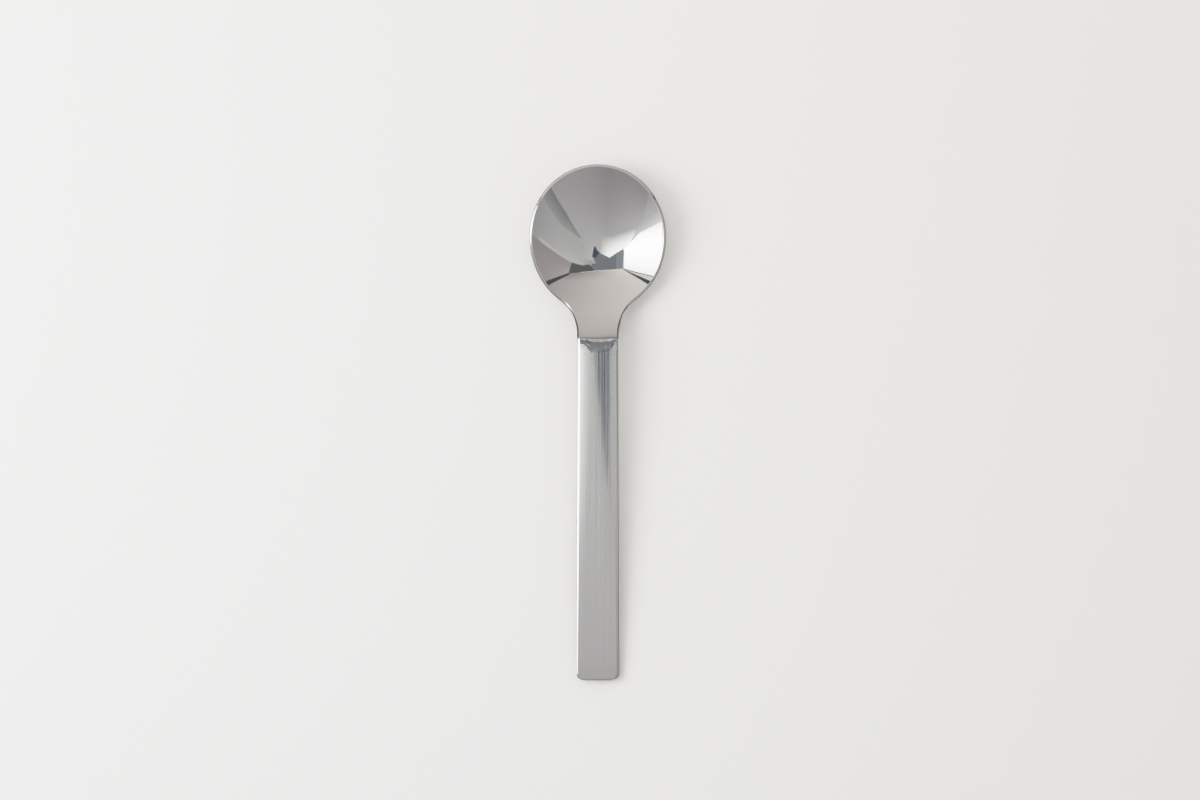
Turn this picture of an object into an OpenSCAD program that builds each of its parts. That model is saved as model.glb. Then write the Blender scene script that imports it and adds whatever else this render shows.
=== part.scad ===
// Teaspoon, lying as it lies on a table: the bowl is towards +Y, the handle towards -Y, up is +Z.
// The table is z = 0. The bowl's underside and the end of the handle touch it.
// A mirror-polished bowl, drawn out into a neck and a hidden flat tang, is let into the end of a
// satin handle bar and held there by brazing metal. The joint shows as the crease across the neck.

/* [Spoon] */
// Overall length, from the tip of the bowl to the end of the handle
overall_l = 135; // [130:1:142]

/* [Bowl] */
// Width of the bowl at its widest
bowl_w = 35.8; // [34:0.2:38]
// Distance from the tip back to the widest place
bowl_tip_l = 18.9; // [18:0.1:20]
// Half length of the oval on the neck side of the widest place
bowl_heel_l = 20; // [19:0.1:21]
// Angle around the oval at which the shoulder leaves it for the neck
shoulder_angle = 56; // [54:1:58]
// Distance from the tip back to the lowest place of the bowl
low_l = 25.5; // [24.5:0.1:26.5]
// Radius of the bowl along its length at the lowest place
base_r = 33; // [30:1:42]
// Radius of the bowl across its width
dish_r = 26.5; // [25:0.5:31]
// Height of the inside edge at the tip above the table
tip_h = 8.2; // [7.5:0.1:8.8]
// Thickness of the steel at the bottom of the bowl
base_t = 1.1; // [1:0.1:1.4]
// Thickness of the steel at the rim
rim_t = 1; // [0.8:0.1:1.1]
// Rounding of the bowl's free edge
rim_round = 0.5; // [0.4:0.05:0.6]

/* [Neck] */
// Distance from the tip back to the crease where the neck meets the handle
crease_l = 45.4; // [44.5:0.1:46.5]
// Height of the crease above the table
crease_h = 8.8; // [8.2:0.1:9.4]
// Slope of the neck just in front of the crease, in degrees
crease_slope = 7; // [6:1:18]
// Width of the neck and the handle at the crease
neck_w = 10.8; // [10.4:0.1:11.2]
// Thickness of the neck and the handle at the crease
neck_t = 2.4; // [2.2:0.1:2.7]
// Rounding of the neck's free edge at the crease
neck_round = 0.25; // [0.2:0.05:0.4]
// Length over which the dish of the bowl flattens out towards the crease
dish_fade = 6; // [4:0.5:8]

/* [Handle] */
// Width of the handle at its end
end_w = 11.5; // [11:0.1:12]
// Thickness of the handle at its end
end_t = 2.3; // [2.1:0.1:2.6]
// Radius of the end's two corners, seen from above
corner_r = 1.8; // [1:0.1:2.2]
// How far the end bows outwards between its corners
end_bow = 0.1; // [0.1:0.1:0.5]
// Rise of the top face's middle above a straight line from end to end
arch = 0.3; // [0:0.1:0.5]
// How far the top face falls from its middle to its edges, in the upper half
crown = 0.17; // [0:0.01:0.25]
// Width of the bevelled edge beside the top face, at the crease
edge_neck = 0.7; // [0.5:0.05:0.8]
// Width of the bevelled edge beside the top face, at the end
edge_end = 0.35; // [0.3:0.05:0.6]

/* [Joint] */
// Width of the tang
tang_w = 6; // [5:0.2:7]
// Thickness of the tang
tang_t = 1.1; // [0.9:0.1:1.2]
// Length of the tang inside the handle
tang_l = 14; // [10:1:18]
// Thickness of the brazing metal around the tang
braze_t = 0.15; // [0.1:0.05:0.2]

/* [Hidden] */

half = overall_l / 2;
bowl_y = half - bowl_tip_l;      // widest place
low_y = half - low_l;            // lowest place
crease_y = half - crease_l;
half_bowl = bowl_w / 2;
half_neck = neck_w / 2;
inset = 0.7;                     // from the outline in to the edge of the inside face

function smooth(t) = let (u = min(1, max(0, t))) u * u * (3 - 2 * u);
function mix(a, b, t) = a + (b - a) * t;

// ---- centre line of the inside face, as a height over the table
tip_run = half - inset - low_y;
tip_a = tip_run * tip_run / (2 * base_r);
tip_b = tip_h - base_t - tip_a;
neck_run = low_y - crease_y;
neck_rise = crease_h - base_t;
neck_a = neck_run * neck_run / (2 * base_r * neck_rise);
neck_s = tan(crease_slope) * neck_run / neck_rise;
neck_d = neck_s - 2 * neck_a - 3 * (1 - neck_a);
neck_b = 1 - neck_a - neck_d;
function centre_z(y) = y >= low_y
    ? let (v = (y - low_y) / tip_run) base_t + tip_a * v * v + tip_b * v * v * v
    : let (u = (low_y - y) / neck_run)
        base_t + neck_rise * (neck_a * u * u + neck_b * u * u * u + neck_d * u * u * u * u);
function centre_slope(y) = y >= low_y
    ? let (v = (y - low_y) / tip_run) (2 * tip_a * v + 3 * tip_b * v * v) / tip_run
    : let (u = (low_y - y) / neck_run)
        -neck_rise / neck_run * (2 * neck_a * u + 3 * neck_b * u * u + 4 * neck_d * u * u * u);

// ---- dish of the inside face across the width, which dies out at the crease
function dish(y) = let (d = max(0, y - crease_y) / dish_fade) (1 - exp(-d * d)) / (2 * dish_r);
function dish_slope(y) = let (d = max(0, y - crease_y) / dish_fade)
    2 * d * exp(-d * d) / dish_fade / (2 * dish_r);
function inside_z(p) = centre_z(p.y) + dish(p.y) * p.x * p.x;
function inside_slope(p) = [2 * dish(p.y) * p.x, centre_slope(p.y) + dish_slope(p.y) * p.x * p.x];

// ---- outline from above: an oval, a concave shoulder on each side, and the neck
shoulder_p = [half_bowl * cos(shoulder_angle), bowl_y - bowl_heel_l * sin(shoulder_angle)];
shoulder_v = [cos(shoulder_angle) / half_bowl, -sin(shoulder_angle) / bowl_heel_l];
shoulder_n = shoulder_v / norm(shoulder_v);
shoulder_r = (shoulder_p.x - half_neck) / (1 - shoulder_n.x);
shoulder_c = shoulder_p + shoulder_r * shoulder_n;
shoulder_turn = acos(shoulder_n.x);

// Each entry is [point, outward direction]. The right side runs from the tip to the crease.
function oval(angle) = let (
    b = angle >= 0 ? bowl_tip_l : bowl_heel_l,
    v = [cos(angle) / half_bowl, sin(angle) / b])
    [[half_bowl * cos(angle), bowl_y + b * sin(angle)], v / norm(v)];
function shoulder(turn) = let (n = [cos(turn), -sin(turn)]) [shoulder_c - shoulder_r * n, n];
n_tip = 14;
n_heel = 8;
n_shoulder = 8;
right_side = [
    for (i = [0 : n_tip]) oval(90 - 90 * i / n_tip),
    for (i = [1 : n_heel]) oval(-shoulder_angle * i / n_heel),
    for (i = [1 : n_shoulder]) shoulder(shoulder_turn * (1 - i / n_shoulder)),
    [[half_neck, crease_y], [1, 0]]
];
left_side = [for (i = [len(right_side) - 1 : -1 : 1]) let (e = right_side[i])
    [[-e[0].x, e[0].y], [-e[1].x, e[1].y]]];

// ---- steel thickness, and the direction in which the outside face lies from the inside face
neck_reach = 18;
function neck_part(y) = smooth((crease_y + neck_reach - y) / neck_reach);
function steel(p, ring) = mix(mix(base_t, rim_t, ring * ring), neck_t, neck_part(p.y));
function outwards(p) = let (
    s = inside_slope(p),
    n = [-s.x, -s.y, 1] / sqrt(1 + s.x * s.x + s.y * s.y),
    f = smooth((p.y - crease_y) / 10))
    [-n.x, -n.y * f, -mix(1, n.z, f)];

// Free edge of the bowl and the neck, a narrow sloping land between two roundings:
// [share of the thickness, share of the rounding]
rim_profile = [[0.02, 0.17], [0.06, 0.33], [0.3, 0.67], [0.53, 0.97], [0.68, 1], [0.83, 0.9], [0.95, 0.65]];
function rim_r(y) = mix(rim_round, neck_round, smooth((crease_y + 14 - y) / 11));

// How far the rounded edge stands out beyond the inside face, seen from above
function along_rim(q, dir) = let (rise = inside_slope(q) * dir)
    [dir.x, dir.y, rise] / sqrt(1 + rise * rise);
function overhang(q, dir) = let (t = steel(q, 1), o = outwards(q), a = along_rim(q, dir))
    max([for (e = rim_profile) (t * e[0] * o + rim_r(q.y) * e[1] * a) * [dir.x, dir.y, 0]]);

// Columns of the bowl all the way round: [edge of the inside face, outward direction, 1 on the
// free edge and 0 on the face that meets the handle].
n_crease = 8;
function edge_of(e) = [e[0] - overhang(e[0] - inset * e[1], e[1]) * e[1], e[1], 1];
columns = [
    for (e = right_side) edge_of(e),
    for (i = [1 : n_crease - 1])
        [[(half_neck - neck_round) * (1 - 2 * i / n_crease), crease_y], [0, -1], 0],
    for (e = left_side) edge_of(e)
];

n_rings = 12;
low_p = [0, low_y];
function on_inside(q) = [q.x, q.y, inside_z(q)];
function on_outside(q, ring) = on_inside(q) + steel(q, ring) * outwards(q);
function rim_point(col, e) = let (q = col[0])
    on_inside(q) + steel(q, 1) * e[0] * outwards(q) + col[2] * rim_r(q.y) * e[1] * along_rim(q, col[1]);

// One column from the middle of the inside face, over the edge, to the middle of the outside face
function column(col) = [
    for (i = [1 : n_rings]) on_inside(mix(low_p, col[0], i / n_rings)),
    for (e = rim_profile) rim_point(col, e),
    for (i = [n_rings : -1 : 1]) on_outside(mix(low_p, col[0], i / n_rings), i / n_rings)
];

module skin(cols, first, last) {
    n = len(cols);
    m = len(cols[0]);
    pts = [first, last, for (c = cols) for (p = c) p];
    faces = [
        for (j = [0 : n - 1]) let (a = 2 + j * m, b = 2 + ((j + 1) % n) * m) each [
            [0, a, b],
            for (i = [0 : m - 2]) each [[a + i, a + i + 1, b + i], [b + i, a + i + 1, b + i + 1]],
            [a + m - 1, 1, b + m - 1]
        ]
    ];
    polyhedron(points = pts, faces = faces);
}

// ---- handle: sections across it, from the crease to the end
under_start = 0.5;               // the flat underside begins this far from the end
under_spare = 0.06;              // taken off again when the underside is ground flat
under_slope = (crease_h - neck_t) / (crease_y + half - under_start);
under_tilt = atan(under_slope);
function under_z(y) = under_slope * (y + half - under_start);
function top_z(y) = let (q = (y + half) / (crease_y + half))
    mix(end_t, crease_h, q) + arch * 4 * q * (1 - q);
function full_half_w(y) = mix(end_w / 2, half_neck, (y + half) / (crease_y + half));

// Edge of the handle: a bevel above, as shares of its width [outwards, down], and a rounding below,
// [share of that width outwards, share of the thickness up from the underside]
edge_top = [[0.42, 0.17], [0.78, 0.35], [0.93, 0.57], [1, 1]];
edge_low = [[1, 0.34], [0.9, 0.18], [0.6, 0.07]];
n_edge = len(edge_top) + len(edge_low);

n_top = 8;
end_round = 0.45;                // rounding of the end's upper and lower edge
// distances of the sections from the end; the last ones turn the corners
end_steps = [8, 4, 2.6, 2, 1.6, 1.25, 0.95, 0.7, 0.5, 0.32, 0.18, 0.07, 0];
long_steps = 12;
section_d = [
    for (i = [0 : long_steps - 1]) mix(crease_y + half, 12, i / (long_steps - 1)),
    for (d = end_steps) d
];
function corner(d, r) = d >= r ? 0 : r - sqrt(r * r - (r - d) * (r - d));
function section(d) = let (
    y = d - half,
    w = full_half_w(y) - corner(max(0, d - end_bow * 0.5), corner_r),
    r = mix(edge_end, edge_neck, smooth(d / (crease_y + half))),
    drop = corner(d, end_round),
    zt = top_z(y) - drop,
    zu = under_z(y) + drop - under_spare,
    c = crown * smooth((crease_y - y) / 3) * smooth((d - 12) / 55),
    wi = w - r,
    ze = zt - c,
    edge = [
        for (e = edge_top) [wi + r * e[0], ze - r * e[1]],
        for (e = edge_low) [wi + r * e[0], mix(zu, ze, e[1])]
    ])
    [
        for (i = [0 : n_top]) let (s = 1 - 2 * i / n_top)
            [wi * s, bowed(d, wi * s, w), zt - c * (0.7 * pow(s, 2) + 0.3 * pow(s, 6))],
        for (e = edge) [-e[0], bowed(d, e[0], w), e[1]],
        for (i = [0 : n_top]) let (s = 2 * i / n_top - 1) [wi * s, bowed(d, wi * s, w), zu],
        for (k = [n_edge - 1 : -1 : 0]) let (e = edge[k]) [e[0], bowed(d, e[0], w), e[1]]
    ];
// The last few sections bow towards the end in their middle
function bowed(d, x, w) = d - half
    + (d >= 4 ? 0 : end_bow * (1 - d / 4) * min(1, (x / w) * (x / w)));

// Faces of one end: strips between the top and the underside, and a fan at each rounded edge
function top_i(o, i) = o + i;
function left_i(o, i) = o + n_top + 1 + i;
function under_i(o, i) = o + n_top + 1 + n_edge + i;
function right_i(o, i) = o + 2 * n_top + 2 + n_edge + i;
function end_faces(o) = [
    for (i = [0 : n_top - 1]) each [
        [top_i(o, i), top_i(o, i + 1), under_i(o, n_top - i - 1)],
        [top_i(o, i), under_i(o, n_top - i - 1), under_i(o, n_top - i)]
    ],
    for (i = [0 : n_edge - 2]) each [
        [top_i(o, n_top), left_i(o, i), left_i(o, i + 1)],
        [top_i(o, 0), right_i(o, i), right_i(o, i + 1)]
    ],
    [top_i(o, n_top), left_i(o, n_edge - 1), under_i(o, 0)],
    [top_i(o, 0), under_i(o, n_top), right_i(o, 0)]
];
function turned(faces) = [for (f = faces) [f[2], f[1], f[0]]];

module bar() {
    secs = [for (d = section_d) section(d)];
    n = len(secs);
    m = len(secs[0]);
    pts = [for (s = secs) for (p = s) p];
    faces = [
        each end_faces(0),
        each turned(end_faces((n - 1) * m)),
        for (k = [0 : n - 2]) for (i = [0 : m - 1]) let (
            a = k * m + i, b = k * m + (i + 1) % m, c = a + m, e = b + m)
            each [[a, c, b], [b, c, e]]
    ];
    polyhedron(points = pts, faces = faces);
}

// Everything under the flat underside and under the table that the end rests on
module under() {
    translate([0, under_start - half, 0]) rotate([under_tilt, 0, 0])
        translate([-20, -10, -10]) cube([40, 120, 10]);
    translate([-20, -half - 10, -10]) cube([40, 40, 10]);
}

// ---- hidden joint: a flat tang along the middle of the handle
mid_z = crease_h - neck_t / 2;
module along_handle(len, extra, w, t) {
    translate([0, crease_y, mid_z]) rotate([under_tilt, 0, 0])
        translate([-w / 2, -len, -t / 2]) cube([w, len + extra, t]);
}
module tang(extra) { along_handle(tang_l, extra, tang_w, tang_t); }
module socket(extra) {
    along_handle(tang_l + braze_t, extra, tang_w + 2 * braze_t, tang_t + 2 * braze_t);
}
module in_handle() { translate([-20, -half - 5, -5]) cube([40, crease_y + half + 5, 30]); }

module bowl() {
    color([0.80, 0.80, 0.79]) union() {
        skin([for (c = columns) column(c)], on_inside(low_p), on_outside(low_p, 0));
        tang(0.8);
    }
}

module handle() {
    color([0.66, 0.66, 0.65]) difference() {
        bar();
        under();
        socket(1);
    }
}

module braze_seam() {
    color([0.78, 0.70, 0.50]) difference() {
        intersection() { socket(1); in_handle(); }
        tang(3);
    }
}

bowl();
handle();
braze_seam();
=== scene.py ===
import math

import bmesh
import bpy
import numpy as np
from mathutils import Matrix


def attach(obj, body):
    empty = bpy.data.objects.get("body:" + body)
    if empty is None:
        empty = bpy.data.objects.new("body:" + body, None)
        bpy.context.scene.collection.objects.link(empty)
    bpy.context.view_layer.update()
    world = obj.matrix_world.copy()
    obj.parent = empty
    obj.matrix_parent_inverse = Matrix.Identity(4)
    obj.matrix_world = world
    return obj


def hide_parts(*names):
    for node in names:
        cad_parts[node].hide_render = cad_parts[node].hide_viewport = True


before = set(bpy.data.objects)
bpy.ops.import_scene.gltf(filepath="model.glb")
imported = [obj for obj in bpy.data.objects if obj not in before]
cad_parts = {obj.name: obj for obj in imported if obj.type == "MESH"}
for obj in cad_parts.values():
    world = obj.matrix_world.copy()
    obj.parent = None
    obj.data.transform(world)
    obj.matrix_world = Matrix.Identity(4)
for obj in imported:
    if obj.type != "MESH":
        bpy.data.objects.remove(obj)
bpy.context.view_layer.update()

MM = 0.001

# ---------------------------------------------------------------- sizes, in millimetres, as in the CAD source
overall_l = 135.0
bowl_w, bowl_tip_l, bowl_heel_l = 35.8, 18.9, 20.0
shoulder_angle = math.radians(56)
low_l, base_r, dish_r, tip_h = 25.5, 33.0, 26.5, 8.2
base_t, rim_t, rim_round = 1.1, 1.0, 0.5
crease_l, crease_h, crease_slope = 45.4, 8.8, math.radians(7)
neck_w, neck_t, neck_round, dish_fade = 10.8, 2.4, 0.48, 6.0
end_w, end_t, corner_r, end_bow, end_round = 11.5, 2.3, 1.8, 0.1, 0.45
arch, crown, edge_neck, edge_end = 0.3, 0.17, 0.7, 0.35
tang_w, tang_t, tang_l, braze_t = 6.0, 1.1, 14.0, 0.15

half = overall_l / 2
bowl_y, low_y, crease_y = half - bowl_tip_l, half - low_l, half - crease_l
half_bowl, half_neck, inset = bowl_w / 2, neck_w / 2, 0.7
handle_l = crease_y + half

SEAM = 0.025          # hairline at the joint: how far each side's edge is eased
STEP = 0.04           # the ground face of the handle lies this far under the neck's edge


def smooth(t):
    u = np.clip(t, 0.0, 1.0)
    return u * u * (3 - 2 * u)


def mix(a, b, t):
    return a + (b - a) * t


# ---------------------------------------------------------------- inside face of the bowl
tip_run = half - inset - low_y
tip_a = tip_run ** 2 / (2 * base_r)
tip_b = tip_h - base_t - tip_a
neck_run, neck_rise = low_y - crease_y, crease_h - base_t
neck_a = neck_run ** 2 / (2 * base_r * neck_rise)
neck_s = math.tan(crease_slope) * neck_run / neck_rise
neck_d = neck_s - 2 * neck_a - 3 * (1 - neck_a)
neck_b = 1 - neck_a - neck_d
under_start = 0.5
under_slope = (crease_h - neck_t) / (handle_l - under_start)
under_tilt = math.atan(under_slope)
top_slope_at_crease = (crease_h - end_t - 4 * arch) / handle_l


def ridge_drop(d, x):
    """How far the rounded ridge lies under the sharp one on the neck, at a distance d from the crease."""
    r = mix(0.3, 1.5, smooth((np.asarray(x, float) + 0.5) / 5.5))
    return ((math.tan(crease_slope) + top_slope_at_crease) / (4 * r) * np.clip(r - d, 0, None) ** 2
            + 0.25 * smooth(1 - d / 16))


def face_drop(d, x):
    """How far the ground face of the handle rolls off towards the crease: round, then flat."""
    x = np.asarray(x, float)
    flat = mix(1.1, 0.6, smooth((x + 4.2) / 3.2))
    r = 0.6 + 2.4 * smooth((x + 4.0) / 3.0) * (1 - 0.6 * smooth((x - 2.2) / 1.8)) + 0.1 * np.sin(2.6 * x + 0.6)
    turn = top_slope_at_crease + 0.112
    return np.where(d < flat, turn * (flat - d + r / 2), turn / (2 * r) * np.clip(flat + r - d, 0, None) ** 2)


def seam_drop(d):
    return SEAM * np.clip(1 - d / 0.05, 0, 1)


def inside_z(x, y):
    v = (y - low_y) / tip_run
    u = (low_y - y) / neck_run
    z = np.where(y >= low_y,
                 base_t + tip_a * v ** 2 + tip_b * v ** 3,
                 base_t + neck_rise * (neck_a * u ** 2 + neck_b * u ** 3 + neck_d * u ** 4))
    d = np.clip(y - crease_y, 0, None) / dish_fade
    return z + (1 - np.exp(-d * d)) / (2 * dish_r) * x * x


def inside_slope(x, y):
    h = 1e-4
    return ((inside_z(x + h, y) - inside_z(x - h, y)) / (2 * h),
            (inside_z(x, y + h) - inside_z(x, y - h)) / (2 * h))


def steel(y, ring):
    return mix(mix(base_t, rim_t, ring * ring), neck_t, smooth((crease_y + 18 - y) / 18))


def outwards(x, y):
    sx, sy = inside_slope(x, y)
    n = 1 / np.sqrt(1 + sx * sx + sy * sy)
    f = smooth((y - crease_y) / 10)
    return np.stack([sx * n, sy * n * f, -mix(1.0, n, f)], -1)


# ---------------------------------------------------------------- half-round free edge of the bowl and the neck
def edge_section(t, turns):
    """Shares of the thickness t (down) and of the rounding (outwards), from the inside edge to the outside edge."""
    down, out, a0, pts = 0.0, 0.0, 0.0, []
    for a1, r, n in turns:
        a1 = math.radians(a1)
        if r is None:
            r = (t - down) / (math.cos(a0) - math.cos(a1))      # what is left of the thickness
        for i in range(1, n + 1):
            a = mix(a0, a1, i / n)
            pts.append((down + r * (math.cos(a0) - math.cos(a)), out + r * (math.sin(a) - math.sin(a0))))
        (down, out), a0 = pts[-1], a1
    pts = np.array(pts)[:-1]
    return pts[:, 0] / t, pts[:, 1] / pts[:, 1].max()


# bowl: a narrow land that turns slowly; neck: a small steep bevel and an upright side
bowl_e0, bowl_e1 = edge_section(1.0, ((41, 0.25, 8), (71, 1.1, 9), (180, None, 12)))
neck_e0, neck_e1 = edge_section(1.0, ((37, 0.107, 8), (45, 3.73, 9), (90, 0.08, 12)))
turn_e0, turn_e1 = edge_section(1.0, ((60, 0.22, 8), (72, 1.3, 9), (180, None, 12)))      # shoulder
neck_e0 = neck_e0 / neck_t
neck_e0[20:] = np.linspace(neck_e0[20], 0.97, len(neck_e0) - 20)
LIP_N = len(bowl_e0)


def lip_shares(k, y):
    f = smooth((crease_y + 9 - y) / 7)[:, None]
    g = smooth((crease_y + 17 - y) / 7)[:, None]
    return mix(mix(bowl_e0[k], turn_e0[k], g), neck_e0[k], f), mix(mix(bowl_e1[k], turn_e1[k], g), neck_e1[k], f)


def rim_r(y):
    return mix(rim_round, neck_round, smooth((crease_y + 10 - y) / 7)) + 0.12 * np.exp(-((y - crease_y - 10) / 4) ** 2)


def outline():
    """Right side from the tip to the crease: points and outward directions."""
    pts, out = [], []

    def oval(a):
        b = bowl_tip_l if a >= 0 else bowl_heel_l
        n = np.array([math.cos(a) / half_bowl, math.sin(a) / b])
        pts.append([half_bowl * math.cos(a), bowl_y + b * math.sin(a)])
        out.append(n / np.linalg.norm(n))

    for i in range(65):
        oval(math.radians(90 - 90 * i / 64))
    for i in range(1, 37):
        oval(-shoulder_angle * i / 36)
    p = np.array([half_bowl * math.cos(shoulder_angle), bowl_y - bowl_heel_l * math.sin(shoulder_angle)])
    n = np.array([math.cos(shoulder_angle) / half_bowl, -math.sin(shoulder_angle) / bowl_heel_l])
    n /= np.linalg.norm(n)
    r = (p[0] - half_neck) / (1 - n[0])
    c = p + r * n
    turn = math.acos(n[0])
    for i in range(1, 41):
        t = turn * (1 - i / 40)
        d = np.array([math.cos(t), -math.sin(t)])
        pts.append(c - r * d)
        out.append(d)
    y_end = pts[-1][1]
    for f in (0.4, 0.75, 1.0):
        pts.append([half_neck, mix(y_end, crease_y, f)])
        out.append([1.0, 0.0])
    return np.array(pts, float), np.array(out, float)


def along_rim(q, d):
    sx, sy = inside_slope(q[:, 0], q[:, 1])
    rise = sx * d[:, 0] + sy * d[:, 1]
    return np.column_stack([d, rise]) / np.sqrt(1 + rise * rise)[:, None]


def lip(q, d, k):
    """Points of the rounded edge beside the inside points q, whose outward direction is d."""
    t = steel(q[:, 1], 1.0)[:, None]
    e0, e1 = lip_shares(k, q[:, 1])
    base = np.column_stack([q, inside_z(q[:, 0], q[:, 1])])
    return base + t * e0 * outwards(q[:, 0], q[:, 1]) + rim_r(q[:, 1])[:, None] * e1 * along_rim(q, d)


def inner_edge(p, d):
    """Edge of the inside face, so that the rounded edge just reaches the outline."""
    q = p - inset * d
    reach = np.full(len(p), -1e9)
    for k in range(LIP_N):
        s = lip(q, d, k)[:, :2]
        reach = np.maximum(reach, ((s - q) * d).sum(1))
    return p - reach[:, None] * d


# ---------------------------------------------------------------- mesh helpers
def new_mesh_object(name, verts_mm, faces):
    me = bpy.data.meshes.new(name)
    me.from_pydata([tuple(float(c) * MM for c in v) for v in verts_mm], [], faces)
    me.validate()
    bm = bmesh.new()
    bm.from_mesh(me)
    bmesh.ops.remove_doubles(bm, verts=bm.verts, dist=1e-8)
    loose = [v for v in bm.verts if not v.link_faces]
    bmesh.ops.delete(bm, geom=loose, context="VERTS")
    bmesh.ops.recalc_face_normals(bm, faces=bm.faces)
    bm.to_mesh(me)
    bm.free()
    for p in me.polygons:
        p.use_smooth = True
    me.set_sharp_from_angle(angle=math.radians(17))
    ob = bpy.data.objects.new(name, me)
    bpy.context.scene.collection.objects.link(ob)
    return ob


def ring_fill(verts, outer, inner, normal):
    """Faces of the flat ring between two closed loops of vertex indices."""
    bm = bmesh.new()
    made = {}
    for i in outer + inner:
        made[i] = bm.verts.new(verts[i])
    edges = []
    for loop in (outer, inner):
        for a, b in zip(loop, loop[1:] + loop[:1]):
            edges.append(bm.edges.new((made[a], made[b])))
    bmesh.ops.triangle_fill(bm, use_beauty=True, use_dissolve=False, edges=edges, normal=normal)
    back = {v: i for i, v in made.items()}
    faces = [[back[v] for v in f.verts] for f in bm.faces]
    bm.free()
    return faces


def box_tube(verts, faces, loop, shift):
    """Walls from a loop of four vertices along a shift, closed at the far end."""
    far = []
    for i in loop:
        far.append(len(verts))
        verts.append(np.asarray(verts[i]) + shift)
    for k in range(4):
        faces.append([loop[k], loop[(k + 1) % 4], far[(k + 1) % 4], far[k]])
    faces.append(far[::-1])


mid_z = crease_h - neck_t / 2
along = np.array([0.0, -math.cos(under_tilt), -math.sin(under_tilt)])


def joint_loop(w, t):
    """The tang's or the socket's outline on the plane of the crease."""
    h = t / 2 / math.cos(under_tilt)
    return [np.array([x, crease_y, mid_z + z]) for x, z in
            ((-w / 2, -h), (w / 2, -h), (w / 2, h), (-w / 2, h))]


# ---------------------------------------------------------------- bowl, neck and tang
def build_bowl():
    p, d = outline()
    q_right = inner_edge(p, d)
    n_cre = 35
    x_half = q_right[-1, 0]
    crease_x = np.linspace(x_half, -x_half, n_cre + 1)[1:-1]
    q = np.vstack([q_right,
                   np.column_stack([crease_x, np.full(n_cre - 1, crease_y)]),
                   (q_right * [-1, 1])[:0:-1]])
    dirs = np.vstack([d, np.tile([0.0, -1.0], (n_cre - 1, 1)), (d * [-1, 1])[:0:-1]])
    n = len(q)
    n_right = len(q_right)
    at_crease = list(range(n_right - 1, n_right + n_cre))      # both corners and all between

    rings = np.concatenate([np.linspace(0, 0.93, 55)[1:],
                            [0.942, 0.953, 0.963, 0.972, 0.98, 0.986, 0.991, 0.995, 0.9982, 1.0]])
    out_rings = np.concatenate([np.linspace(0, 0.95, 31)[1:], [0.97, 0.985, 0.995, 1.0]])
    low = np.array([0.0, low_y])

    verts, faces = [], []

    def add(block):
        start = len(verts)
        verts.extend(block)
        return start

    def joint_ease(pts):
        gap = np.clip(pts[:, 1] - crease_y, 0, None)
        return ridge_drop(gap, pts[:, 0]) + seam_drop(gap)

    def top_points(pts):
        return np.column_stack([pts, inside_z(pts[:, 0], pts[:, 1]) - joint_ease(pts)])

    centre_in = add(top_points(low[None]))
    rows_in = [add(top_points(mix(low, q, r))) for r in rings]

    # the rounded edge: full on the free edge, and left out along the crease
    rows_lip = []
    for k in range(LIP_N):
        pts = lip(q, dirs, k)
        pts[:, 2] -= joint_ease(q) * (1 - lip_shares(k, q[:, 1])[0][:, 0])
        rows_lip.append(add(pts))

    def outside(pts, r):
        base = np.column_stack([pts, inside_z(pts[:, 0], pts[:, 1])])
        return base + steel(pts[:, 1], r)[:, None] * outwards(pts[:, 0], pts[:, 1])

    rows_out = [add(outside(mix(low, q, r), r)) for r in out_rings[::-1]]
    centre_out = add(outside(low[None], 0.0))

    def strip(a, b, skip=False):
        for j in range(n):
            k = (j + 1) % n
            if skip and j in at_crease and k in at_crease:
                continue
            faces.append([a + j, b + j, b + k, a + k])

    for j in range(n):
        faces.append([centre_in, rows_in[0] + j, rows_in[0] + (j + 1) % n])
    for a, b in zip(rows_in, rows_in[1:]):
        strip(a, b)
    chain = [rows_in[-1]] + rows_lip + [rows_out[0]]
    for a, b in zip(chain, chain[1:]):
        strip(a, b, skip=True)
    for a, b in zip(rows_out, rows_out[1:]):
        strip(a, b)
    for j in range(n):
        faces.append([rows_out[-1] + j, centre_out, rows_out[-1] + (j + 1) % n])

    # flat wall at the crease, with the tang standing on it
    top = [rows_in[-1] + j for j in at_crease]
    left = [r + at_crease[-1] for r in rows_lip]
    bottom = [rows_out[0] + j for j in at_crease[::-1]]
    right = [r + at_crease[0] for r in rows_lip[::-1]]
    loop = top + left + bottom + right
    root = [add([c]) for c in joint_loop(tang_w, tang_t)]
    faces.extend(ring_fill(verts, loop, root, (0, -1, 0)))
    box_tube(verts, faces, root, along * tang_l)
    return new_mesh_object("bowl_polished", verts, faces)


# ---------------------------------------------------------------- handle bar with its socket
def corner(d, r):
    d = min(d, r)
    return r - math.sqrt(max(r * r - (r - d) ** 2, 0))


def under_z(y):
    return under_slope * (y + half - under_start)


def top_z(y):
    s = (y + half) / handle_l
    return mix(end_t, crease_h, s) + arch * 4 * s * (1 - s)


BEVEL_0, BEVEL_1 = math.radians(22), math.radians(30)


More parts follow.
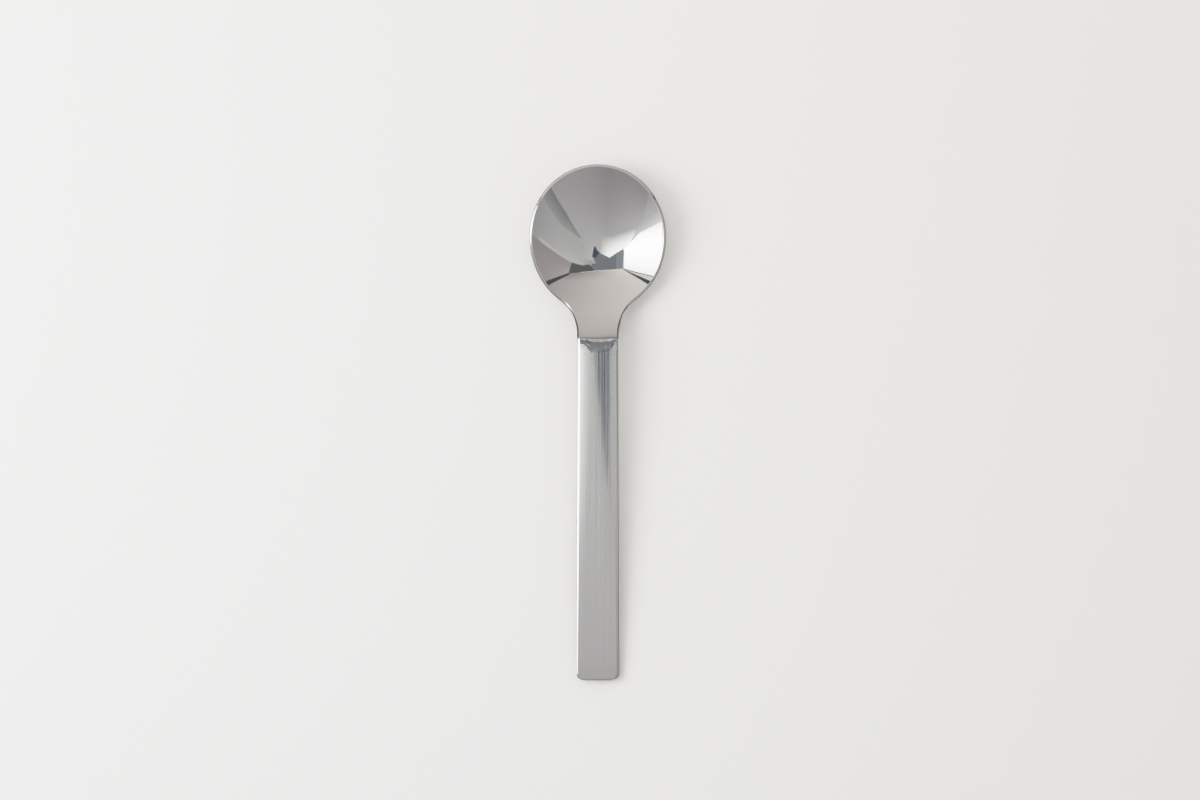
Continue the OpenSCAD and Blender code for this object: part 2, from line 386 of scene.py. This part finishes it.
def edge_points(wi, r, ze, zu, arris):
    """Half section of one long edge: a slightly crowned bevel, a rounded arris, the side, a rounding below."""
    pts = []
    t0, t1 = math.tan(BEVEL_0), math.tan(BEVEL_1)
    flat = (1 - arris) * r
    for i in range(1, 7):
        u = i / 6
        pts.append((wi + flat * u, ze - flat * (t0 * u + (t1 - t0) * u * u / 2)))
    x0, z0 = pts[-1]
    rho = arris * r / (1 - math.sin(BEVEL_1))
    for a in (36, 45, 54, 63, 72, 81, 90):
        a = math.radians(a)
        pts.append((x0 + rho * (math.sin(a) - math.sin(BEVEL_1)), z0 - rho * (math.cos(BEVEL_1) - math.cos(a))))
    z_low = mix(zu, ze, 0.34)
    for a in range(0, 90, 12):
        a = math.radians(a)
        pts.append((wi + r * math.cos(a), mix(z_low, zu, math.sin(a))))
    return pts


EDGE_N = len(edge_points(5, 0.7, 2, 0, 0.2))


def build_handle():
    a = np.linspace(0, math.pi / 2, 31)
    near = 1.45 * (1 - np.cos(a))
    d_all = np.concatenate([near, np.linspace(1.6, 4.2, 14), np.linspace(4.8, 84, 96),
                            np.linspace(84.5, handle_l - 1.4, 10), handle_l - np.linspace(1.2, 0.35, 14),
                            handle_l - np.array([0.28, 0.22, 0.17, 0.12, 0.08, 0.05, 0.025, 0.0])])
    s_top = np.concatenate([np.linspace(0, 0.9, 19), [0.93, 0.955, 0.975, 0.988, 0.996, 1.0]])
    s_top = np.concatenate([s_top[::-1], -s_top[1:]])            # +1 .. -1
    n_top = len(s_top)
    dome = 0.7 * s_top ** 2 + 0.3 * s_top ** 6

    def bowed(d, x, w):
        return d - half + np.where(d >= 4, 0.0, end_bow * (1 - d / 4) * np.minimum(1, (x / w) ** 2))

    verts, faces = [], []
    sections = []
    for d in d_all:
        y = d - half
        gap = handle_l - d
        w = mix(end_w / 2, half_neck, d / handle_l) - corner(max(0.0, d - end_bow * 0.5), corner_r)
        f = float(smooth(d / handle_l))
        r_left, r_right = mix(edge_end, edge_neck, f), mix(1.0, edge_neck, f)    # ground wider on the right
        drop = corner(d, end_round)
        zt = float(top_z(y)) - drop - STEP - float(seam_drop(gap))
        floor = max(under_z(y), 0.0)
        zu = under_z(y) + drop - 0.06
        c = crown * float(smooth(gap / 3)) * float(smooth((d - 12) / 55))
        xs = mix(r_left - w, w - r_right, (s_top + 1) / 2)
        rows = [[x, zt - c * k - g] for x, k, g in zip(xs, dome, face_drop(gap, xs))]
        rows += [[-x, z] for x, z in edge_points(w - r_left, r_left, rows[-1][1], zu, 0.35)]
        rows += [[x, zu] for x in xs[::-1]]
        rows += [[x, z] for x, z in edge_points(w - r_right, r_right, rows[0][1], zu, 0.4)[::-1]]
        rows = np.array(rows)
        ys = bowed(np.full(len(rows), d), rows[:, 0], w)
        zs = np.maximum(rows[:, 1], floor)
        sections.append(len(verts))
        verts.extend(np.column_stack([rows[:, 0], ys, zs]))
    m = len(rows)
    for a, b in zip(sections, sections[1:]):
        for i in range(m):
            k = (i + 1) % m
            faces.append([a + i, a + k, b + k, b + i])

    # rounded end: strips between the upper and the lower side
    o = sections[0]
    for i in range(n_top - 1):
        t0, t1 = o + i, o + i + 1
        u0, u1 = o + n_top + EDGE_N + (n_top - 1 - i), o + n_top + EDGE_N + (n_top - 2 - i)
        faces.append([t0, t1, u1, u0])
    faces.append([o + n_top - 1] + [o + n_top + i for i in range(EDGE_N)] + [o + n_top + EDGE_N])
    faces.append([o] + [o + m - 1 - i for i in range(EDGE_N)] + [o + n_top + EDGE_N + n_top - 1])

    # flat end at the crease, with the blind socket
    o = sections[-1]
    loop = [o + i for i in range(m)]
    mouth = []
    for c in joint_loop(tang_w + 2 * braze_t, tang_t + 2 * braze_t):
        mouth.append(len(verts))
        verts.append(c)
    faces.extend(ring_fill(verts, loop, mouth, (0, 1, 0)))
    box_tube(verts, faces, mouth, along * (tang_l + braze_t))
    ob = new_mesh_object("handle_satin", verts, faces)
    brushed = ob.data.uv_layers.new(name="brushed")            # first axis across the brushing
    for p in ob.data.polygons:
        for i in p.loop_indices:
            x, y, z = ob.data.vertices[ob.data.loops[i].vertex_index].co
            brushed.data[i].uv = (6 * (x if abs(p.normal.z) > 0.5 else -z * math.copysign(1, p.normal.x)) + 0.5, 6 * y + 0.5)
    return ob


# ---------------------------------------------------------------- materials
def material(name):
    m = bpy.data.materials.new(name)
    m.use_nodes = True
    nt = m.node_tree
    bsdf = next(n for n in nt.nodes if n.type == "BSDF_PRINCIPLED")
    return m, nt, bsdf


def node(nt, kind, **inputs):
    n = nt.nodes.new(kind)
    for k, v in inputs.items():
        n.inputs[k.replace("_", " ")].default_value = v
    return n


def stretched(nt, scale, detail=2.0, rough=0.5):
    """Noise in object space, with its own scale along each axis (features per metre)."""
    where = nt.nodes.new("ShaderNodeTexCoord").outputs["Object"]
    mp = nt.nodes.new("ShaderNodeMapping")
    mp.inputs["Scale"].default_value = scale
    nt.links.new(where, mp.inputs["Vector"])
    nz = node(nt, "ShaderNodeTexNoise", Scale=1.0, Detail=detail, Roughness=rough)
    nt.links.new(mp.outputs["Vector"], nz.inputs["Vector"])
    return nz.outputs["Fac"]


def ramp(nt, fac, stops):
    r = nt.nodes.new("ShaderNodeValToRGB")
    e = r.color_ramp.elements
    while len(e) < len(stops):
        e.new(0.5)
    for el, (pos, col) in zip(e, stops):
        el.position = pos
        el.color = (*col, 1) if isinstance(col, (tuple, list)) else (col, col, col, 1)
    nt.links.new(fac, r.inputs["Fac"])
    return r.outputs["Color"]


def maths(nt, op, a, b=None):
    n = nt.nodes.new("ShaderNodeMath")
    n.operation = op
    for i, v in enumerate((a, b)):
        if v is None:
            continue
        if isinstance(v, (int, float)):
            n.inputs[i].default_value = v
        else:
            nt.links.new(v, n.inputs[i])
    return n.outputs[0]


def along_handle(nt):
    """0 at the handle's end, 1 at the crease."""
    xyz = nt.nodes.new("ShaderNodeSeparateXYZ")
    nt.links.new(nt.nodes.new("ShaderNodeTexCoord").outputs["Object"], xyz.inputs[0])
    return maths(nt, "MULTIPLY", maths(nt, "ADD", xyz.outputs["Y"], half * MM), 1 / (handle_l * MM))


def blend(nt, kind, fac, a, b, how="MIX"):
    """Mix of two values or colours; each is a number, a colour or an output."""
    n = nt.nodes.new("ShaderNodeMix")
    n.data_type = kind
    if kind == "RGBA":
        n.blend_type = how
    ins = [i for i in n.inputs if i.enabled]
    for i, v in zip(ins, (fac, a, b)):
        if isinstance(v, bpy.types.NodeSocket):
            nt.links.new(v, i)
        else:
            i.default_value = v
    return next(o for o in n.outputs if o.enabled)


def bump(nt, height, distance, normal=None):
    b = node(nt, "ShaderNodeBump", Strength=1.0, Distance=distance)
    nt.links.new(height, b.inputs["Height"])
    if normal is not None:
        nt.links.new(normal, b.inputs["Normal"])
    return b.outputs["Normal"]


def polished_steel():
    m, nt, b = material("polished_steel")
    b.inputs["Metallic"].default_value = 1.0
    tone = stretched(nt, (90, 60, 90), detail=3.0)
    metal = ramp(nt, tone, [(0.3, (0.62, 0.613, 0.606)), (0.7, (0.648, 0.641, 0.634))])
    xyz = nt.nodes.new("ShaderNodeSeparateXYZ")
    nt.links.new(nt.nodes.new("ShaderNodeTexCoord").outputs["Object"], xyz.inputs[0])
    up = maths(nt, "MULTIPLY", maths(nt, "SUBTRACT", xyz.outputs["Y"], crease_y * MM), 1 / (10 * MM))
    # painted shade: the base colour darkens over the last 10 mm of the neck towards the crease, standing in for a
    # dimmer reflection there
    painted_shade = ramp(nt, up, [(0.0, 0.76), (0.15, 0.85), (0.35, 0.93), (0.7, 1.0)])
    nt.links.new(blend(nt, "RGBA", 1.0, metal, painted_shade, "MULTIPLY"), b.inputs["Base Color"])
    hair = stretched(nt, (4200, 60, 0), detail=2.0)
    wipe = stretched(nt, (160, 220, 160), detail=4.0)
    rough = maths(nt, "ADD", ramp(nt, hair, [(0.45, 0.02), (0.75, 0.07)]), ramp(nt, wipe, [(0.4, 0.0), (0.75, 0.03)]))
    nt.links.new(rough, b.inputs["Roughness"])
    wave = stretched(nt, (170, 110, 170), detail=1.0)
    n1 = bump(nt, wave, 2.5e-6)
    n2 = bump(nt, hair, 1.2e-7, normal=n1)
    nt.links.new(n2, b.inputs["Normal"])
    return m


def satin_steel():
    """Brushed along its length: bright lines between hazy ones. The bevels and sides are polished."""
    m, nt, b = material("satin_steel")
    b.inputs["Metallic"].default_value = 1.0
    b.inputs["Anisotropic"].default_value = 0.6
    run = along_handle(nt)
    tone = stretched(nt, (2600, 14, 0), detail=3.0)
    metal = ramp(nt, tone, [(0.35, (0.618, 0.610, 0.602)), (0.65, (0.648, 0.640, 0.632))])
    # painted shade: the base colour darkens towards the handle's end, standing in for a dimmer reflection there
    painted_shade = ramp(nt, run, [(0.0, 0.84), (0.07, 0.895), (0.3, 0.92), (0.42, 0.95), (0.56, 1.0)])
    nt.links.new(blend(nt, "RGBA", 1.0, metal, painted_shade, "MULTIPLY"), b.inputs["Base Color"])
    line = stretched(nt, (2700, 9, 0), detail=3.0, rough=0.55)
    fine = stretched(nt, (12000, 9, 0), detail=1.0)
    level = maths(nt, "ADD", fine, maths(nt, "MULTIPLY", maths(nt, "SUBTRACT", line, 0.5), 0.35))
    lined = maths(nt, "MULTIPLY", ramp(nt, level, [(0.49, 0.06), (0.58, 0.30)]), ramp(nt, run, [(0.955, 1.0), (0.985, 0.45)]))
    ends = maths(nt, "ADD", run, maths(nt, "MULTIPLY", maths(nt, "SUBTRACT", stretched(nt, (3800, 3, 0), detail=2.0), 0.5), 1.1))
    satin = blend(nt, "FLOAT", ramp(nt, ends, [(0.28, 0.0), (0.66, 1.0)]), 0.24, lined)
    geo = nt.nodes.new("ShaderNodeNewGeometry")
    xyz = nt.nodes.new("ShaderNodeSeparateXYZ")
    nt.links.new(geo.outputs["True Normal"], xyz.inputs[0])
    flat = ramp(nt, maths(nt, "ABSOLUTE", xyz.outputs["Z"]), [(0.964, 0.16), (0.987, 1.0)])
    rough = maths(nt, "MAXIMUM", maths(nt, "MULTIPLY", satin, flat), 0.05)
    nt.links.new(rough, b.inputs["Roughness"])
    tg = nt.nodes.new("ShaderNodeTangent")
    tg.direction_type = "UV_MAP"
    tg.uv_map = "brushed"
    nt.links.new(tg.outputs["Tangent"], b.inputs["Tangent"])
    wave = stretched(nt, (420, 16, 0), detail=2.0)
    n1 = bump(nt, line, 1.0e-7)
    n2 = bump(nt, wave, 1.2e-6, normal=n1)
    patch = stretched(nt, (330, 420, 0), detail=2.0)
    near_crease = maths(nt, "MULTIPLY", patch, ramp(nt, run, [(0.95, 0.0), (0.985, 1.0)]))
    n3 = bump(nt, near_crease, 7.0e-6, normal=n2)
    nt.links.new(n3, b.inputs["Normal"])
    return m


def braze_metal():
    m, nt, b = material("braze_metal")
    b.inputs["Metallic"].default_value = 1.0
    flow = stretched(nt, (900, 500, 900), detail=5.0)
    nt.links.new(ramp(nt, flow, [(0.3, (0.62, 0.52, 0.34)), (0.7, (0.80, 0.73, 0.55))]), b.inputs["Base Color"])
    nt.links.new(ramp(nt, flow, [(0.3, 0.45), (0.7, 0.25)]), b.inputs["Roughness"])
    nt.links.new(bump(nt, flow, 2.0e-5), b.inputs["Normal"])
    return m


def floor_white():
    m, nt, b = material("floor_white")
    grain = stretched(nt, (3, 3, 3), detail=3.0)
    nt.links.new(ramp(nt, grain, [(0.3, (0.947, 0.942, 0.924)), (0.7, (0.957, 0.952, 0.934))]), b.inputs["Base Color"])
    b.inputs["Roughness"].default_value = 0.8
    b.inputs["Specular IOR Level"].default_value = 0.15
    return m


# ---------------------------------------------------------------- the spoon
bowl = build_bowl()
bowl.data.materials.append(polished_steel())
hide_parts("bowl")
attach(bowl, "root")

handle = build_handle()
handle.data.materials.append(satin_steel())
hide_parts("handle")
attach(handle, "root")

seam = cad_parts["braze_seam"]
seam.data.materials.clear()
seam.data.materials.append(braze_metal())

# ---------------------------------------------------------------- floor
me = bpy.data.meshes.new("floor")
me.from_pydata([(-6, -6, 0), (6, -6, 0), (6, 6, 0), (-6, 6, 0)], [], [(0, 1, 2, 3)])
floor = bpy.data.objects.new("floor", me)
bpy.context.scene.collection.objects.link(floor)
floor.data.materials.append(floor_white())

# ---------------------------------------------------------------- studio: one big soft light, pale and dark cards around
AIM = np.array([0.0, 0.04, 0.005])      # the cards are placed as seen from the bowl
card_mat = bpy.data.materials.new("card_light")
card_mat.use_nodes = True
ct = card_mat.node_tree
ct.nodes.clear()
c_out = ct.nodes.new("ShaderNodeOutputMaterial")
c_em = ct.nodes.new("ShaderNodeEmission")
c_at = ct.nodes.new("ShaderNodeAttribute")
c_at.attribute_name = "glow"
ct.links.new(c_at.outputs["Color"], c_em.inputs["Color"])
ct.links.new(c_em.outputs["Emission"], c_out.inputs["Surface"])

NEUTRAL, WARM, COOL = (1.0, 1.0, 1.0), (1.06, 1.0, 0.965), (0.955, 1.0, 1.06)
GREY = (1.018, 1.0, 1.026)


def spot(right, up):
    """Direction seen from the bowl: degrees from straight overhead towards +X and towards +Y."""
    t, a = math.radians(math.hypot(right, up)), math.atan2(up, right)
    return np.array([math.sin(t) * math.cos(a), math.sin(t) * math.sin(a), math.cos(t)])


LIFT = 1.55      # the floor gets this much more from each card than the steel mirrors


def stand(name, verts, faces, glow):
    me = bpy.data.meshes.new(name)
    me.from_pydata([tuple(v) for v in verts], [], faces)
    at = me.attributes.new("glow", "FLOAT_COLOR", "POINT")
    at.data.foreach_set("color", np.column_stack([glow, np.ones(len(glow))]).astype(np.float32).ravel())
    ob = bpy.data.objects.new(name, me)
    bpy.context.scene.collection.objects.link(ob)
    me.materials.append(card_mat)
    ob.visible_camera = False
    ob.visible_shadow = False
    return ob


def pair(name, rays, dist, faces, glow, lit, near):
    """The card that the steel mirrors, and its twin that lights the floor."""
    stand(name, AIM + rays * dist, faces, glow).visible_diffuse = False
    light = glow * LIFT if lit is None else np.full(glow.shape, float(lit))
    stand(name + "_lit", AIM + rays * (near or 0.6), faces, light).visible_glossy = False


def card(name, corners, levels, dist, tint=NEUTRAL, n=12, lit=None, near=None):
    """A four-cornered card with a brightness at each corner."""
    c = [spot(*k) for k in corners]
    g = levels if len(levels) == 4 else levels * 4
    rays, glow, faces = [], [], []
    for i in range(n + 1):
        for j in range(n + 1):
            u, v = i / n, j / n
            w = ((1 - u) * (1 - v), u * (1 - v), u * v, (1 - u) * v)
            d = sum(k * p for k, p in zip(w, c))
            rays.append(d / np.linalg.norm(d))
            glow.append(sum(k * p for k, p in zip(w, g)) * np.array(tint))
    for i in range(n):
        for j in range(n):
            a = i * (n + 1) + j
            faces.append((a, a + 1, a + n + 2, a + n + 1))
    pair(name, np.array(rays), dist, faces, np.array(glow), lit, near)


def flag(name, corners, level, dist, tint=NEUTRAL):
    """A cut-out card of one brightness."""
    rays = np.array([spot(*k) for k in corners])
    glow = np.tile(np.array(tint) * level, (len(rays), 1))
    pair(name, rays, dist, [tuple(range(len(rays)))], glow, None, None)


# warm grey screen behind the bowl
card("screen_low_l", [(-26.5, 9.3), (0, 11.8), (0, 28), (-42, 24)], [1.08, 0.60, 0.77, 0.97], 2.5, WARM)
card("screen_low_r", [(0, 11.8), (31.5, 16.5), (44, 25.5), (0, 28)], [0.60, 0.36, 0.50, 0.77], 2.5, WARM)
card("screen_l", [(-42, 24), (0, 28), (0, 82), (-53, 35)], [0.97, 0.77, 0.77, 0.97], 2.5, WARM, 20)
card("screen_r", [(0, 28), (44, 25.5), (53, 33), (0, 82)], [0.77, 0.52, 0.46, 0.77], 2.5, WARM, 20)
flag("screen_line", [(-26.5, 8.9), (0, 11.3), (22, 14.2), (22, 14.8), (0, 12.1), (-26.5, 9.8)], 0.95, 2.3, WARM)
# dark edges of the screen
flag("edge_l", [(-28, 10.0), (-40, 18.4), (-54.5, 29.6), (-51.5, 34.6), (-41, 23.2), (-30, 12.2)], 0.11, 2.3, COOL)
flag("edge_r", [(31, 15.0), (53, 28.6), (49.5, 34.4), (30.6, 18.0)], 0.11, 2.3)
# pale strip, a thin line and the soft light on the left
flag("strip_l", [(-27, 9.6), (-54, 31), (-57.5, 21.5), (-27, 8.4)], 1.0, 2.45)
flag("line_l", [(-27, 9.6), (-56.6, 22.3), (-56.4, 20.8), (-27, 8.7)], 0.2, 2.35)
card("soft_light", [(-28, 8.5), (-56, 20.6), (-63, -14), (-29, -9)], [2.0, 1.9, 5.0, 5.6], 2.6, NEUTRAL, 16, 6.0, 0.5)
card("soft_light_top", [(-29, -9), (-63, -14), (-62, -23), (-43, -18.5)], [5.6, 5.0, 1.8, 2.6], 2.6, NEUTRAL, 16, 3.2, 0.5)
card("soft_light_edge", [(-38, -15.5), (-62, -22), (-60, -31), (-40, -23)], [0.95, 1.1, 0.62, 0.70], 2.62, NEUTRAL, 16, 1.3, 0.52)
card("soft_light_side", [(-56, 20.6), (-68, 16), (-72, -18), (-63, -14)], [2.2, 1.2, 1.2, 2.6], 2.6, NEUTRAL, 16, 2.8, 0.5)
# dark card overhead
flag("overhead_r", [(31.5, 16.3), (28.6, 2.2), (17, 4.9), (10, 3.8), (7, 6), (4, 11.9)], 0.17, 2.35)
flag("overhead", [(4, 11.9), (-20, 9.9), (-20, -5.7), (-13, -2.2), (-2.4, -5.9), (0.8, -4), (0.8, 2.5), (7, 3.2),
                  (7, 6)], 0.30, 2.36, (0.92, 1.0, 1.08))
flag("overhead_tip", [(-2.4, -5.9), (0.6, -8.3), (2.0, -10.1), (3.0, -11.6), (4.3, -10), (5.0, -8.4), (6.0, -4),
                      (6, -2.5), (0.8, -2.5), (0.8, -4)], 0.13, 2.36, (0.76, 1.0, 1.28))
flag("overhead_mid", [(0.8, -2.5), (6, -2.5), (2.0, 2.6), (0.8, 2.5)], 0.30, 2.36, (0.92, 1.0, 1.08))
flag("overhead_l", [(-20, 9.9), (-26.5, 9.2), (-28, -9.2), (-20, -5.7)], 0.40, 2.36, (0.92, 1.0, 1.10))
flag("overhead_bit", [(9.5, -0.5), (10.5, 3.6), (7.2, 5.6), (6.6, 1.0)], 0.55, 2.3)
# right side
flag("right_line", [(58, -15), (43, -6.9), (29, 0.5), (16, 4.3), (16, 5.6), (29, 2.5), (43, -4.7), (58, -12.9)], 0.70, 2.45)
card("right_high", [(31.5, 16), (52, 31), (68, -18), (29, 1.4)], [0.60, 0.46, 0.38, 0.42], 2.5, WARM, 16)
card("right_low", [(15, 5), (29, 1.4), (68, -18), (54, -34)], [0.74, 0.76, 0.46, 0.48], 2.52, NEUTRAL, 16)
card("right_in", [(15, 5), (54, -34), (23, -17), (14, -12)], [0.70, 0.50, 0.62, 0.60], 2.54, NEUTRAL, 16)
card("band_in", [(17.5, -16.8), (33, -30.7), (38, -24), (22, -17.2)], [0.42, 0.29, 0.48, 0.52], 2.4)
card("band_out", [(33, -30.7), (50, -41), (55, -35), (38, -24)], [0.29, 0.28, 0.44, 0.48], 2.4)
# grey cards towards the handle, lighter near the soft light
card("low_glow", [(-13, -1), (-2, -4), (-4, -18), (-16, -18)], [2.4, 0.80, 0.66, 0.68], 2.66, NEUTRAL, 20, 0.9)
card("low_glow_l", [(-31, -9), (-13, -1), (-16, -18), (-42, -22)], [3.2, 2.4, 0.68, 0.74], 2.66, NEUTRAL, 20, 1.2)
card("low_near_l", [(-30, 2), (-9, 0.9), (-9, -24), (-45, -23)], [0.80, 0.78, 0.54, 0.70], 2.7, NEUTRAL, 20)
card("low_near_c", [(-9, 0.9), (5, 0.3), (5, -24), (-9, -24)], [0.78, 0.78, 0.585, 0.54], 2.7, NEUTRAL, 20)
card("low_near_r", [(5, 0.3), (15, -1), (22, -23), (5, -24)], [0.78, 0.66, 0.60, 0.585], 2.7, NEUTRAL, 20)
card("low_mid_l", [(-45, -23), (-9, -24), (-9, -47), (-50, -38)], [0.70, 0.54, 0.37, 0.39], 2.7, GREY, 20)
card("low_mid_c", [(-9, -24), (5, -24), (5, -47), (-9, -47)], [0.54, 0.585, 0.42, 0.37], 2.7, GREY, 20)
card("low_mid_r", [(5, -24), (22, -23), (44, -38), (5, -47)], [0.585, 0.60, 0.50, 0.42], 2.7, GREY, 20)
card("low_far_l", [(-50, -37), (-9, -46), (-9, -64), (-46, -62)], [0.40, 0.37, 0.30, 0.32], 2.72, GREY, 20)
card("low_far_c", [(-9, -46), (5, -46), (5, -64), (-9, -64)], [0.37, 0.42, 0.30, 0.30], 2.72, GREY, 20)
card("low_far_r", [(5, -46), (42, -36), (62, -56), (5, -64)], [0.42, 0.50, 0.38, 0.30], 2.72, GREY, 20)
card("low_end", [(-46, -60), (60, -54), (60, -66), (-46, -76)], [0.34, 0.36, 0.28, 0.28], 2.72, NEUTRAL, 20)
card("low_left", [(-45, -22), (-50, -38), (-70, -36), (-64, -22)], [0.8, 0.45, 0.55, 0.9], 2.72, NEUTRAL, 16)

# low dark band all around, which only the edges mirror
band_v, band_f = [], []
for i in range(64):
    a = 2 * math.pi * i / 64
    band_v += [(2.9 * math.cos(a), 2.9 * math.sin(a), z) for z in (0.0, 1.05)]
    band_f.append((2 * i, 2 * i + 1, (2 * i + 3) % 128, (2 * i + 2) % 128))
stand("low_band", band_v, band_f, np.full((128, 3), 0.20)).visible_diffuse = False

# ---------------------------------------------------------------- even light from everywhere else
world = bpy.data.worlds.new("studio")
bpy.context.scene.world = world
world.use_nodes = True
wn = world.node_tree
bg = next(n for n in wn.nodes if n.type == "BACKGROUND")
bg.inputs["Color"].default_value = (0.62, 0.612, 0.60, 1)
bg.inputs["Strength"].default_value = 1.0

# ---------------------------------------------------------------- camera, straight above
cam = bpy.data.cameras.new("camera")
cam.sensor_width = 36.0
cam.lens = 36.0 * 795.0 / 313.3
cam.clip_start, cam.clip_end = 0.01, 50
camera = bpy.data.objects.new("camera", cam)
camera.location = (0.00052, 0.00609, 0.8)
camera.rotation_euler = (0.0, 0.0, -0.0012)
bpy.context.scene.collection.objects.link(camera)
bpy.context.scene.camera = camera

vs = bpy.context.scene.view_settings
vs.view_transform = "Standard"
vs.look = "None"
vs.exposure = 0.0
vs.gamma = 1.0
# soft shoulder for the lights, as film and cameras have
vs.use_curve_mapping = True
cm = vs.curve_mapping
cm.use_clip = False
cm.clip_max_x = 4.5
shoulder = cm.curves[3]
shoulder.points[0].location = (0.0, 0.0)
shoulder.points[1].location = (4.5, 1.0)
for x, y in ((0.25, 0.25), (0.45, 0.45), (0.6, 0.585), (0.75, 0.69), (0.9, 0.762), (1.05, 0.813),
             (1.3, 0.865), (1.7, 0.915), (2.3, 0.955), (3.2, 0.985)):
    shoulder.points.new(x, y)
cm.update()
